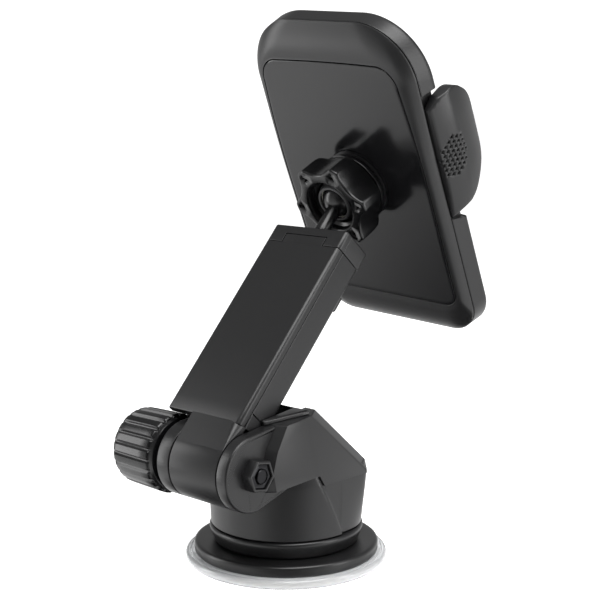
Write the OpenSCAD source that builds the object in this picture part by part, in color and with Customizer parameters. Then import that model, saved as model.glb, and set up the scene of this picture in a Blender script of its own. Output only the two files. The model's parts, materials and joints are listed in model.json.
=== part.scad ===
/* [Suction base] */
// Radius of the clear gel disc at its top edge
gel_r = 36.1; // [32:0.1:40]
// Thickness of the gel disc
gel_t = 3.3; // [2.5:0.1:4.5]
// Radius of the black cup disc
disc_r = 33; // [30:0.1:36]
// Height of the cup disc's rim
disc_h = 3.9; // [3:0.1:5]
// Radius of the hub that the collar sits on
hub_r = 24; // [22:0.5:25]
// Height of the hub above the disc
hub_h = 3.2; // [2.5:0.1:4]
// Greatest radius of the pressure collar
collar_r = 27.6; // [26.5:0.1:29]
// Height of the housing's lower edge above the table
seam_z = 13.8; // [12:0.1:16]
// Outer radius of the housing's round foot
foot_r = 27; // [25.5:0.1:28]
// Wall of the housing
wall = 2.4; // [1.8:0.1:3]
// Vertical travel of the pull stem
stem_travel = 1.6; // [1:0.1:2]

/* [Housing block] */
// Half the width across the block's flat sides
block_half = 26.2; // [24:0.1:28]
// Height of the block's top ridge
ridge_z = 58.8; // [54:0.1:64]
// How far the ridge stands in front of the base's centre
ridge_y = 8.2; // [5:0.1:12]
// How far the block reaches behind the base's centre
rear_y = 17; // [14:0.5:20]
// Height of the block's rear corner
rear_z = 36.5; // [33:0.5:40]
// Height of the block's lower edge where it meets the round foot
notch_z = 36.8; // [34:0.1:40]
// Bevel along the block's sloping edges
block_bevel = 4.1; // [2:0.1:6]

/* [Hinge] */
// Hinge axis in front of the base's centre
hinge_y = 38.3; // [34:0.1:44]
// Hinge axis above the table
hinge_z = 42.6; // [38:0.1:48]
// Radius of the arm's barrel and of both ears
barrel_r = 13; // [11:0.1:15]
// Barrel's end on the knob side, from the centre plane
barrel_right = 4.9; // [3:0.1:7]
// Thickness of the ear on the nut side
nut_ear_t = 4.5; // [3.5:0.1:6]
// Thickness of the ear on the knob side
knob_ear_t = 6; // [4:0.1:8]
// Radius of the hinge bolt
bolt_r = 2.5; // [2:0.1:3]
// Across flats of the hinge nut
nut_af = 8; // [7:0.1:10]
// Radius of the boss that holds the nut
boss_r = 5.9; // [5:0.1:7]
// Radius of the hinge knob
knob_r = 13.9; // [11:0.1:16]
// Length of the hinge knob
knob_len = 21.6; // [16:0.1:26]
// Gap between the knob and its ear, which holds the washer
knob_gap = 2.2; // [1.5:0.1:3]

/* [Arm] */
// Backward lean of the arm from upright
arm_lean = 42.4; // [30:0.1:55]
// Width of the arm
arm_w = 35; // [30:0.1:40]
// Thickness of the arm
arm_t = 13.6; // [12:0.1:16]
// Length of the sleeve from the hinge axis
sleeve_len = 83; // [70:0.5:100]
// Length of the head above the sleeve
head_len = 7.2; // [5:0.1:10]
// Radius of the arm's two rear corners
arm_corner = 4; // [2:0.1:5]
// Depth of the back cover from the arm's rear face
cover_depth = 3.4; // [3:0.1:4.5]
// Where the sleeve's free corner starts above the hinge axis
sleeve_start = 10.8; // [9:0.1:14]
// Wall of the sleeve
sleeve_wall = 2.2; // [1.6:0.1:2.6]
// Travel of the telescopic slide
slide_travel = 40; // [25:1:45]
// Width of the cover's tab in the head
tab_w = 19; // [12:0.5:24]
// Height of the cover's tab
tab_h = 3.4; // [2:0.1:5]

/* [Ball joint] */
// Radius of the ball
ball_r = 6.6; // [6:0.1:7.2]
// Distance of the ball's centre from the hinge axis along the arm
ball_reach = 107.9; // [104:0.1:125]
// Height of the stud's axis over the arm's front face
stud_off = 8.2; // [6:0.1:9]
// Ball centre behind the cradle's back panel
ball_depth = 9.7; // [9.5:0.1:11]
// Radius of the socket's thread
socket_r = 12.4; // [12:0.1:13]
// Radius over the star nut's points
star_r = 16.8; // [15.5:0.1:18]
// Height of the star nut's outer face over the back panel
star_h = 16.4; // [15.5:0.1:18]
// Radius of the star nut's opening
star_open = 10.4; // [10:0.1:11]

/* [Cradle] */
// Forward lean of the cradle's back panel
cradle_tilt = 27.2; // [15:0.1:35]
// Turn of the cradle about the ball's axis
cradle_roll = 3.7; // [0:0.1:8]
// Half the width of the back shell
shell_half = 36.1; // [34:0.1:38]
// Half the height of the back shell
shell_tall = 63; // [58:0.1:68]
// Half the width of the front frame
frame_half = 37.2; // [35:0.1:39]
// Half the width of the back panel
panel_half = 32.3; // [30:0.1:33]
// Half the height of the back panel
panel_tall = 48.3; // [44:0.1:52]
// Corner radius at the cradle's top
top_corner = 23; // [16:0.5:25]
// Corner radius at the cradle's bottom
low_corner = 13; // [8:0.5:16]
// Depth of the back shell behind the parting line
shell_depth = 4.8; // [4.4:0.1:6]
// Depth of the front frame in front of the parting line
frame_depth = 8; // [7.6:0.1:10]
// Thickness of the front pad
pad_t = 1.4; // [1:0.1:2]

/* [Clamps] */
// Radius of the half-round clamp wings
wing_r = 23.8; // [20:0.1:26]
// Height of the wings' centre over the ball's axis
wing_z = 11.6; // [6:0.1:12]
// Thickness of a wing
wing_t = 4.6; // [3:0.1:5.5]
// Depth of the side recess that a wing closes into
wing_recess = 2.4; // [1.6:0.1:3]
// Travel of each wing
wing_travel = 12; // [8:0.5:14]
// Teeth on the pinion
pinion_teeth = 12; // [10:1:12]
// Module of the rack and pinion
gear_module = 1; // [0.9:0.1:1]
// Travel of the foot
foot_travel = 18; // [10:1:20]
// Travel of the release button
release_travel = 1.8; // [1:0.1:2.5]

/* [Fits] */
// Radial clearance of a running shaft
run_fit = 0.08; // [0.05:0.01:0.1]
// Gap between pieces that move past each other
slack = 0.35; // [0.3:0.05:0.5]
// Fine parting gap between fixed covers
seam = 0.25; // [0.1:0.05:0.4]

/* [Hidden] */
$fn = 96;
eps = 0.01;
disc_top = gel_t + disc_h;
hub_top = disc_top + hub_h;
arm_half = arm_w / 2;
barrel_left = arm_half;
ear_gap = 0.5;
ear_left = barrel_left + ear_gap;
ear_right = barrel_right + ear_gap;
ear_out_left = ear_left + nut_ear_t;
ear_out_right = ear_right + knob_ear_t;
knob_x = ear_out_right + knob_gap;
slope = atan2(ridge_z - rear_z, ridge_y + rear_y);
front_m = barrel_r - arm_t;
cover_m = barrel_r - cover_depth;
stud_m = front_m + stud_off;
head_z = sleeve_len + seam;
head_top = head_z + head_len;
slot_half = arm_half + slack;
trough_y = hinge_y - barrel_r;
trough_z = hinge_z + 4.4;
// Lever pin above the stem, and the eccentric drum that lifts the stem
lever_z = 32;
lever_turn = 65;
ecc = stem_travel / (2 * sin(lever_turn / 2));
drum_y = ecc * cos(lever_turn / 2);
drum_z = lever_z + stem_travel / 2;
drum_r = 4.2;
lever_half = 13;
slope_gap = (ridge_z - lever_z) * cos(slope) - ridge_y * sin(slope);
lever_foot = (ridge_z - lever_z) * sin(slope) + ridge_y * cos(slope);
well_r = slope_gap + 0.4;
stem_r = 4;
plate_r = 15;
plate_z = gel_t - 0.6;
ball_y = hinge_y - ball_reach * sin(arm_lean) + stud_m * cos(arm_lean);
ball_z = hinge_z + ball_reach * cos(arm_lean) + stud_m * sin(arm_lean);
floor_w = -shell_depth - frame_depth;
gear_r = gear_module * pinion_teeth / 2;
gear_w0 = floor_w + 2.2;
gear_t = 3;
rack_len = 55;
button_s = 70;
slide_half = 11.2;
head_screw_m = 8.5;

// Places children in the arm's frame: x across, y towards its rear face, z along it
module in_arm() {
    translate([0, hinge_y, hinge_z]) rotate([arm_lean, 0, 0]) children();
}

// Places children in the cradle's frame: origin on the back panel over the ball
module in_cradle() {
    translate([0, ball_y, ball_z]) rotate([-cradle_tilt, 0, 0]) rotate([0, -cradle_roll, 0])
        translate([0, -ball_depth, 0]) children();
}

// Lies a cylinder along x from one place to another
module along_x(from, to, r, fn = 96) {
    translate([from, 0, 0]) rotate([0, 90, 0]) cylinder(r = r, h = to - from, $fn = fn);
}

// Lies a cylinder along the cradle's depth from one place to another
module along_w(from, to, r, fn = 96) {
    translate([0, from, 0]) rotate([-90, 0, 0]) cylinder(r = r, h = to - from, $fn = fn);
}

// Extrudes a y-z outline along x
module slab_x(from, to) {
    translate([from, 0, 0]) rotate([90, 0, 90]) linear_extrude(to - from) children();
}

// Extrudes an x-z outline along the cradle's depth
module slab_w(from, to) {
    translate([0, to, 0]) rotate([90, 0, 0]) linear_extrude(to - from) children();
}

// Rectangle with one radius at the top corners and another at the bottom ones
module cradle_outline(half, tall, top_r, low_r) {
    union() {
        square([2 * (half - top_r), 2 * tall], center = true);
        translate([-half, low_r - tall]) square([2 * half, 2 * tall - top_r - low_r]);
        for (s = [-1, 1]) {
            translate([s * (half - top_r), tall - top_r]) circle(top_r);
            translate([s * (half - low_r), low_r - tall]) circle(low_r);
        }
        translate([low_r - half, -tall]) square([2 * (half - low_r), tall]);
    }
}

// Coil drawn as a thin sleeve with a ring for each turn
module coil(len, r, wire, turns) {
    rotate_extrude($fn = 32) {
        translate([r - wire / 4, wire / 2]) square([wire / 2, len - wire]);
        for (i = [0 : turns - 1])
            translate([r, wire / 2 + i * (len - wire) / (turns - 1)]) circle(wire / 2, $fn = 16);
    }
}

// Screw with a pan head, its head's underside at z = 0 and its shank going down
module screw(r, len, head_r, head_h) {
    union() {
        translate([0, 0, -len]) cylinder(r = r, h = len + eps, $fn = 32);
        difference() {
            cylinder(r = head_r, h = head_h, $fn = 32);
            translate([0, 0, head_h / 2]) cylinder(r = head_r / 2, h = head_h, $fn = 6);
        }
    }
}

// ---- Suction base ----

module gel_pad() {
    color([0.85, 0.87, 0.88, 0.5]) rotate_extrude() polygon([[0, 0], [gel_r - 0.9, 0],
        [gel_r - 0.3, 0.5], [gel_r, gel_t - 0.5], [gel_r - 0.5, gel_t], [plate_r + 0.4, gel_t],
        [plate_r + 0.4, plate_z - stem_travel - 0.1], [0, plate_z - stem_travel - 0.1]]);
}

module cup_disc() {
    color([0.05, 0.05, 0.05]) difference() {
        rotate_extrude() polygon([[0, gel_t], [disc_r - 0.3, gel_t], [disc_r, gel_t + 0.3],
            [disc_r, disc_top - 0.9], [disc_r - 0.9, disc_top], [hub_r, disc_top],
            [hub_r, hub_top], [0, hub_top]]);
        translate([0, 0, gel_t - 1]) cylinder(r = plate_r + 0.4, h = 3.2);
        translate([0, 0, -1]) cylinder(r = stem_r + run_fit, h = 30);
        for (a = [90, 210, 330]) rotate(a) translate([hub_r - 5, 0, 0]) {
            cylinder(r = 1.6, h = 30, $fn = 32);
            cylinder(r = 3.1, h = gel_t + 2.2, $fn = 32);
        }
    }
}

module pressure_collar() {
    color([0.06, 0.06, 0.06]) rotate_extrude() polygon([[hub_r, disc_top + 0.3],
        [foot_r - 1.4, disc_top + 0.3], [foot_r - 0.8, disc_top + 1.2],
        [collar_r - 0.1, seam_z - 1.9], [collar_r, seam_z - 1.2], [collar_r - 0.3, seam_z - 0.4],
        [foot_r - 0.4, seam_z - seam], [hub_r, seam_z - seam]]);
}

// Side outline of the housing: block, ear and the web between them
module housing_side() {
    ear_top = 83;
    ear_r = barrel_r - 0.05;
    union() {
        translate([hinge_y, hinge_z]) circle(barrel_r);
        polygon([[ridge_y, ridge_z], [ridge_y + 5.4, ridge_z],
            [hinge_y + ear_r * cos(ear_top), hinge_z + ear_r * sin(ear_top)],
            [hinge_y, hinge_z], [hinge_y + ear_r * cos(254), hinge_z + ear_r * sin(254)],
            [10.5, notch_z], [10.5, notch_z - 4], [-rear_y + 2, notch_z - 4], [-rear_y, rear_z]]);
    }
}

// Plan of the housing: full width behind, stepped in to the two ears in front
module housing_plan() {
    knob_clear = hinge_y - knob_r - 1.4;
    polygon([[-block_half, -rear_y + block_bevel], [block_bevel - block_half, -rear_y],
        [block_half - block_bevel, -rear_y], [block_half, -rear_y + block_bevel],
        [block_half, knob_clear - 8], [ear_out_right, knob_clear],
        [ear_out_right, hinge_y + barrel_r], [-ear_out_left, hinge_y + barrel_r],
        [-ear_out_left, hinge_y - 5.8], [-block_half, hinge_y - 9.6]]);
}

// Bevels both sloping edges of the block
module slope_bevels() {
    for (s = [-1, 1]) translate([s * block_half, ridge_y, ridge_z]) rotate([slope, 0, 0])
        rotate([0, 45, 0]) cube([block_bevel * sqrt(2), 100, block_bevel * sqrt(2)], center = true);
}

module base_housing() {
    color([0.07, 0.07, 0.07]) difference() {
        union() {
            difference() {
                intersection() {
                    slab_x(-block_half, block_half) housing_side();
                    translate([0, 0, seam_z]) linear_extrude(100) housing_plan();
                }
                slope_bevels();
            }
            translate([0, 0, seam_z]) cylinder(r = foot_r, h = notch_z - seam_z + 0.4);
            translate([0, hinge_y, hinge_z]) along_x(-block_half - 0.2, 1 - ear_out_left, boss_r);
        }
        // Hollow for the suction works, its hub seat and the lever's well
        difference() {
            translate([0, 0, seam_z - 1]) cylinder(r = foot_r - wall, h = rear_z - seam_z - 3.3);
            for (a = [90, 210, 330]) rotate(a) translate([hub_r - 5, 0, 0]) cylinder(r = 3, h = 60, $fn = 32);
        }
        for (a = [90, 210, 330]) rotate(a) translate([hub_r - 5, 0, 0])
            cylinder(r = 1.6, h = disc_top + 12, $fn = 32);
        translate([-lever_half - 0.5, ridge_y, ridge_z]) rotate([slope, 0, 0])
            translate([0, -60, -3.5]) cube([2 * lever_half + 1, 60 - lever_foot + 2, 20]);
        translate([0, 0, lever_z]) along_x(-lever_half - 0.3, lever_half + 0.3, well_r);
        slab_x(-lever_half - 0.4, lever_half + 0.4) lever_sweep();
        // Room for the barrel, the arm's box and the knob
        translate([0, hinge_y, hinge_z]) along_x(-ear_left, ear_right, barrel_r + slack + 0.2);
        translate([-ear_left, hinge_y, hinge_z - barrel_r - 1])
            cube([ear_left + ear_right, 40, 60]);
        slab_x(-slot_half, ear_right) trough_outline();
        slab_x(ear_right - 0.2, slot_half) difference() {
            trough_outline();
            translate([hinge_y, hinge_z]) circle(barrel_r + 0.5);
            translate([trough_y, 0]) square([60, trough_z - 3.5]);
        }
        translate([0, hinge_y, hinge_z]) along_x(ear_out_right, 60, knob_r + 1);
        cover_band(seam / 2);
        cover_tray(seam / 2);
        // Bolt, nut and lever pin bores
        translate([0, hinge_y, hinge_z]) {
            along_x(-60, 60, bolt_r + run_fit, 64);
            along_x(-60, 2 - ear_out_left - 2.6, nut_af / sqrt(3) + 0.1, 6);
        }
        translate([0, 0, lever_z]) along_x(-18, 18, 1.5, 32);
    }
}

// Everything over the arm's resting line, so that it can lean back between the cheeks
module trough_outline() {
    polygon([[trough_y + 1, hinge_z - 2], [trough_y + 1, trough_z], [ridge_y + 1, ridge_z - 4.6],
        [-rear_y, ridge_z + 4], [-rear_y, ridge_z + 40], [hinge_y, ridge_z + 40],
        [hinge_y, hinge_z - 2]]);
}

// Cover band along the block's top edges
module cover_band(gap) {
    slab_x(-block_half - 1, block_half + 1) polygon([[ridge_y + 5.4 - gap, ridge_z - 2.2 - gap],
        [ridge_y + 5.4 - gap, ridge_z + 9], [hinge_y - 8 + gap, ridge_z + 9],
        [hinge_y - 8 + gap, ridge_z - 3.9 - gap]]);
}

// Tray of the cover that lines the slot under the arm
module cover_tray(gap) {
    rise = (ridge_z - 4.6 - trough_z) / (trough_y - ridge_y);
    slab_x(-slot_half - 1.2 - gap, slot_half + 1.2 + gap) polygon([
        [ridge_y + 6.4 - gap, trough_z + (trough_y - ridge_y - 5.4) * rise - 1.4 - gap],
        [ridge_y + 6.4 - gap, ridge_z + 9], [trough_y - 1 + gap, ridge_z + 9],
        [trough_y - 1 + gap, trough_z + 2 * rise - 1.4 - gap]]);
}

module top_cover() {
    color([0.07, 0.07, 0.07]) difference() {
        intersection() {
            union() {
                cover_band(-seam / 2);
                cover_tray(-seam / 2);
            }
            translate([0, 0, seam_z]) linear_extrude(100) housing_plan();
            slab_x(-block_half, block_half) polygon([[ridge_y, ridge_z - 20], [ridge_y, ridge_z - 1],
                [ridge_y + 10, ridge_z + 1.4], [hinge_y - 8, ridge_z - 1.2], [hinge_y, ridge_z - 20]]);
        }
        slab_x(-slot_half, slot_half) trough_outline();
        translate([0, hinge_y, hinge_z]) along_x(ear_out_right - 1, 60, knob_r + 1);
    }
}

module disc_screws() {
    color("silver") for (a = [90, 210, 330]) rotate(a)
        translate([hub_r - 5, 0, gel_t + 2.2]) rotate([180, 0, 0]) screw(1.5, 10, 2.8, 1.7);
}

module lever_pin() {
    color("silver") translate([0, 0, lever_z]) along_x(-17.5, 17.5, 1.45, 32);
}

// Room under the slope for the lever's plate, up to where it stands when it is lifted
module lever_sweep() {
    wide_r = well_r + 0.15;
    spots = [[0, well_r + 1.5], [lever_turn / 2, wide_r / cos(lever_turn / 2)], [lever_turn, wide_r]];
    polygon(concat([[0, lever_z]], [for (p = spots)
        [p[1] * cos(90 + slope - p[0]), lever_z + p[1] * sin(90 + slope - p[0])]]));
}

module suction_lever() {
    color([0.06, 0.06, 0.06]) difference() {
        union() {
            intersection() {
                translate([-lever_half, ridge_y, ridge_z]) rotate([slope, 0, 0])
                    translate([0, -lever_foot - 17, -3]) cube([2 * lever_half, 18.6, 3]);
                translate([-50, -50, rear_z - 8]) cube(100);
            }
            for (s = [-1, 1]) slab_x(s * 5.6 - 1.9, s * 5.6 + 1.9) union() {
                translate([0, lever_z]) circle(4.6);
                polygon([[-3, lever_z - 3.4], [3, lever_z + 3.4], [-5, lever_z + 11.5],
                    [-12, lever_z + 5.5], [-9, lever_z]]);
            }
            translate([0, drum_y, drum_z]) along_x(-4, 4, drum_r);
        }
        translate([0, 0, lever_z]) along_x(-40, 40, 1.45 + run_fit, 32);
    }
}

module pull_stem() {
    head_w = 2 * (drum_r + 2.2);
    color([0.8, 0.8, 0.78]) difference() {
        union() {
            translate([0, 0, plate_z]) cylinder(r = plate_r, h = 1.5);
            translate([0, 0, plate_z]) cylinder(r = stem_r, h = drum_z - drum_r - 2 - plate_z);
            translate([-3.3, drum_y - head_w / 2, drum_z - drum_r - 3])
                cube([6.6, head_w, 2 * drum_r + 5.4]);
        }
        translate([-9, drum_y - drum_r - 0.45, drum_z - drum_r - 0.12])
            cube([18, 2 * drum_r + 0.9, 2 * drum_r + 0.24]);
    }
}

module stem_spring() {
    color("silver") translate([0, 0, hub_top + 0.1])
        coil(drum_z - drum_r - 3.2 - hub_top, stem_r + 1.3, 1.1, 6);
}

// ---- Hinge ----

module hinge_nut() {
    color("gray") difference() {
        translate([0, hinge_y, hinge_z]) along_x(-block_half + 0.7, -ear_out_left - 0.8, nut_af / sqrt(3), 6);
        translate([0, hinge_y, hinge_z]) along_x(-60, 0, bolt_r + run_fit, 64);
    }
}

module hinge_bolt() {
    color("silver") translate([0, hinge_y, hinge_z]) union() {
        along_x(-block_half - 0.1, knob_x + 8, bolt_r, 64);
        along_x(knob_x + 8 - eps, knob_x + 11, 4.4, 6);
    }
}

module hinge_knob() {
    flutes = 22;
    color([0.05, 0.05, 0.05]) translate([0, hinge_y, hinge_z]) difference() {
        union() {
            along_x(knob_x, knob_x + knob_len - 2, knob_r);
            translate([knob_x + knob_len - 2, 0, 0]) rotate([0, 90, 0])
                cylinder(r1 = knob_r, r2 = knob_r - 1.4, h = 2);
        }
        for (i = [0 : flutes - 1]) rotate([i * 360 / flutes, 0, 0]) translate([0, knob_r + 0.5, 0])
            along_x(knob_x - 1, knob_x + knob_len + 1, 1.15, 16);
        along_x(knob_x - 1, knob_x + 8, bolt_r, 64);
        along_x(knob_x + 8 - eps, knob_x + 11, 4.4, 6);
    }
}

module knob_washer() {
    color("silver") translate([0, hinge_y, hinge_z]) difference() {
        along_x(ear_out_right + 0.1, knob_x, 7.5);
        along_x(0, 60, bolt_r, 64);
    }
}

module friction_washers() {
    color([0.3, 0.3, 0.3]) translate([0, hinge_y, hinge_z]) difference() {
        union() {
            along_x(0.1 - ear_left, -barrel_left, 10);
            along_x(barrel_right, ear_right - 0.1, 10);
        }
        along_x(-60, 60, bolt_r + run_fit + 0.1, 64);
    }
}

// ---- Arm ----

// Cuts the sleeve's free corner clear of the ear and the knob
module corner_relief() {
    translate([barrel_right + eps, -40, -40]) cube([60, 80, 40 + sleeve_start]);
    along_x(barrel_right + eps, 60, knob_r + 0.6);
}

module arm_sleeve() {
    color([0.1, 0.1, 0.1]) in_arm() difference() {
        translate([-arm_half, front_m, 0]) cube([arm_w, arm_t - cover_depth, sleeve_len]);
        corner_relief();
        along_x(-60, 60, barrel_r + seam);
        translate([-60, -60, -60]) cube([120, 120, 60]);
        translate([-slide_half - slack, front_m + sleeve_wall, 17])
            cube([2 * slide_half + 2 * slack, arm_t, sleeve_len]);
        for (x = [-1, 1]) translate([x * (arm_half - sleeve_wall - 1.2) - 1.2, front_m + sleeve_wall, 28])
            cube([2.4, arm_t, 26]);
        translate([-4.4, front_m - 1, button_s - 4.4]) cube([8.8, 6, 8.8]);
        for (s = [24, 58]) for (x = [-1, 1]) translate([x * (arm_half - 4.4), front_m - 1, s])
            rotate([-90, 0, 0]) cylinder(r = 1.1, h = 14, $fn = 32);
    }
}

// Rear part of the arm's section, with both rear corners rounded
module cover_profile() {
    steps = 8;
    start = asin((cover_m + seam - barrel_r + arm_corner) / arm_corner);
    turn = (90 - start) / steps;
    mid = arm_half - arm_corner;
    polygon(concat(
        [for (i = [0 : steps]) [mid + arm_corner * cos(start + i * turn),
            barrel_r - arm_corner + arm_corner * sin(start + i * turn)]],
        [for (i = [0 : steps]) [-mid - arm_corner * cos(90 - i * turn),
            barrel_r - arm_corner + arm_corner * sin(90 - i * turn)]]));
}

module arm_back_cover() {
    color([0.1, 0.1, 0.1]) in_arm() difference() {
        union() {
            along_x(-barrel_left, barrel_right, barrel_r);
            difference() {
                translate([0, 0, 1.5]) linear_extrude(sleeve_len - 1.5) cover_profile();
                corner_relief();
            }
            translate([-tab_w / 2, barrel_r - 1.8, sleeve_len - 1]) cube([tab_w, 1.8, tab_h + 1]);
        }
        translate([sleeve_wall - arm_half, 0, 17])
            cube([arm_w - 2 * sleeve_wall, barrel_r - sleeve_wall, sleeve_len]);
        for (s = [24, 58]) for (x = [-1, 1]) translate([x * (arm_half - 4.4), cover_m - 1, s])
            rotate([-90, 0, 0]) cylinder(r = 1.1, h = 3, $fn = 32);
        along_x(-60, 60, bolt_r + run_fit, 64);
    }
}

module sleeve_screws() {
    color("gray") in_arm() for (s = [24, 58]) for (x = [-1, 1])
        translate([x * (arm_half - 4.4), front_m, s]) rotate([90, 0, 0]) screw(1.05, 12, 2, 0.6);
}

module lock_button() {
    color([0.04, 0.04, 0.04]) in_arm() union() {
        translate([-4, front_m - 2, button_s - 3.9]) cube([8, sleeve_wall + 2.2, 7.8]);
        translate([-14.5, front_m - 3.4, button_s - 3.2]) cube([29, 1.7, 6.4]);
        translate([-5.6, front_m + sleeve_wall + 0.05, button_s - 5.6]) cube([11.2, 0.8, 11.2]);
    }
}

module lock_spring() {
    color("silver") in_arm() translate([0, front_m + sleeve_wall + 3.05, button_s])
        rotate([90, 0, 0]) coil(2.2, 2.1, 0.5, 4);
}

module inner_slide() {
    low = front_m + sleeve_wall + 3.2;
    color([0.16, 0.16, 0.16]) in_arm() difference() {
        translate([-slide_half, low, 28])
            cube([2 * slide_half, barrel_r - sleeve_wall - slack - low, head_z - 28]);
        translate([2.2 - slide_half, low + 1.8, 30]) cube([2 * slide_half - 4.4, 10, 46]);
        for (x = [-1, 1]) translate([x * 6.7, head_screw_m, 70]) cylinder(r = 1.25, h = 20, $fn = 32);
        translate([-3, low - 1, 20]) cube([6, 20, button_s - 16]);
        for (i = [0 : 12]) translate([-7, low - 1, 31 + 3.2 * i]) cube([14, 2, 1.6]);
    }
}

module arm_head() {
    color([0.1, 0.1, 0.1]) in_arm() difference() {
        union() {
            translate([0, 0, head_z]) linear_extrude(head_len) cover_profile();
            translate([-arm_half, front_m - 0.4, head_z])
                cube([arm_w, cover_m - front_m + 1, head_len]);
        }
        translate([-tab_w / 2 - slack, barrel_r - 1.8 - slack, head_z - 1])
            cube([tab_w + 2 * slack, 9, tab_h + 1 + slack]);
        translate([0, stud_m, head_z - 1]) cylinder(r = 3.4, h = head_len + 2, $fn = 64);
        for (x = [-1, 1]) translate([x * 6.7, head_screw_m, head_z - 1])
            cylinder(r = 1.2, h = head_len - 2, $fn = 32);
    }
}

module head_screws() {
    color("gray") in_arm() for (x = [-1, 1]) translate([x * 6.7, head_screw_m, 75.9])
        rotate([180, 0, 0]) union() {
            screw(1.15, 9, 1.8, 1.2);
        }
}

module ball_stud() {
    color([0.08, 0.08, 0.08]) in_arm() translate([0, stud_m, 0]) union() {
        translate([0, 0, head_z + 0.6]) cylinder(r = 3.35, h = head_len, $fn = 64);
        translate([0, 0, head_top - 0.2]) cylinder(r1 = 3.2, r2 = 2.6, h = 5);
        translate([0, 0, head_top + 4.7]) cylinder(r = 2.6, h = ball_reach - head_top - 8);
        translate([0, 0, ball_reach]) sphere(ball_r);
    }
}

// ---- Ball joint, in the cradle's frame ----

// Spherical cup about the ball's centre, open towards the arm
module ball_cup(inner, outer, low, high) {
    translate([0, ball_depth, 0]) rotate([-90, 0, 0]) rotate_extrude() intersection() {
        difference() {
            circle(outer);
            circle(inner);
        }
        translate([0, low]) square([outer, high - low]);
    }
}

module ball_liner() {
    color([0.75, 0.75, 0.72]) in_cradle() ball_cup(ball_r + run_fit, ball_r + 0.75, -ball_r - 0.8, 2.4);
}

module collet() {
    color([0.2, 0.2, 0.2]) in_cradle() ball_cup(ball_r + 0.83, ball_r + 1.5, -7.2, 4.4);
}

module socket_cup() {
    color([0.1, 0.1, 0.1]) in_cradle() difference() {
        union() {
            along_w(0.02, 1.2, 13.4);
            along_w(1.1, ball_depth - 0.6, socket_r);
        }
        translate([0, ball_depth, 0]) sphere(ball_r + 1.58);
        for (a = [45 : 90 : 315]) rotate([0, a, 0]) translate([11.2, 0, 0])
            along_w(-1, 0.9, 0.9, 32);
    }
}

// Six-pointed outline with hollow sides
module star_outline() {
    rotate(-8) difference() {
        circle(star_r);
        for (i = [0 : 5]) rotate(30 + 60 * i) translate([star_r + 6.3, 0]) circle(10);
    }
}

module star_nut() {
    color([0.04, 0.04, 0.04]) in_cradle() difference() {
        union() {
            slab_w(5.6, star_h) star_outline();
            along_w(1.5, 5.7, 13.7);
        }
        along_w(1, ball_depth - 0.2, socket_r + run_fit);
        translate([0, ball_depth, 0]) sphere(ball_r + 1.9);
        along_w(ball_depth, star_h + 1, ball_r + 1);
        along_w(ball_depth + 4.3, star_h + 1, star_open - 0.7);
        translate([0, star_h - 0.7, 0]) rotate([-90, 0, 0])
            cylinder(r1 = star_open - 0.7, r2 = star_open + 0.1, h = 0.8);
        for (i = [0 : 5]) rotate([0, 8 + 60 * i, 0]) translate([13.8, star_h - 3, 0])
            along_w(0, 4, 1.5, 3);
    }
}

// ---- Cradle ----

module panel_outline(grow) {
    cradle_outline(panel_half + grow, panel_tall + grow, 8 + grow, 5.5 + grow);
}

module back_panel() {
    color([0.09, 0.09, 0.09]) in_cradle() difference() {
        slab_w(-1.5, 0) panel_outline(0);
        for (a = [45 : 90 : 315]) rotate([0, a, 0]) translate([11.2, 0, 0]) along_w(-3, 1, 1.1, 32);
    }
}

module back_shell() {
    color([0.1, 0.1, 0.1]) in_cradle() difference() {
        hull() {
            slab_w(-shell_depth, 0.6 - shell_depth)
                cradle_outline(shell_half, shell_tall, top_corner - 1, low_corner, $fn = 32);
            slab_w(-0.7, -0.1) cradle_outline(panel_half + 0.8, panel_tall + 0.8, 9, 6.5, $fn = 32);
        }
        slab_w(-1.55, 2) panel_outline(seam);
        slab_w(-9, -shell_depth + 1.6)
            cradle_outline(shell_half - 2, shell_tall - 2, top_corner - 3, low_corner - 2);
        for (x = [-1, 1]) for (z = [-1, 1]) translate([x * 26, 0, z * 44]) along_w(-8, 0, 1.2, 32);
        for (a = [45 : 90 : 315]) rotate([0, a, 0]) translate([11.2, 0, 0]) along_w(-9, 1, 1.1, 32);
    }
}

module shell_screws() {
    color("gray") in_cradle() union() {
        for (a = [45 : 90 : 315]) rotate([0, a, 0]) translate([11.2, -3.25, 0]) rotate([90, 0, 0])
            screw(0.85, 4, 1.8, 0.9);
        for (x = [-1, 1]) for (z = [-1, 1]) translate([x * 26, floor_w + 1.4, z * 44])
            rotate([90, 0, 0]) screw(1.1, 9, 2, 1);
    }
}

module wing_window(x0, x1) {
    for (z = [wing_z - gear_r - 4.6, wing_z + gear_r - 1.4])
        translate([x0, gear_w0 - slack, z]) cube([x1 - x0, gear_t + 2 * slack, 6]);
}

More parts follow.
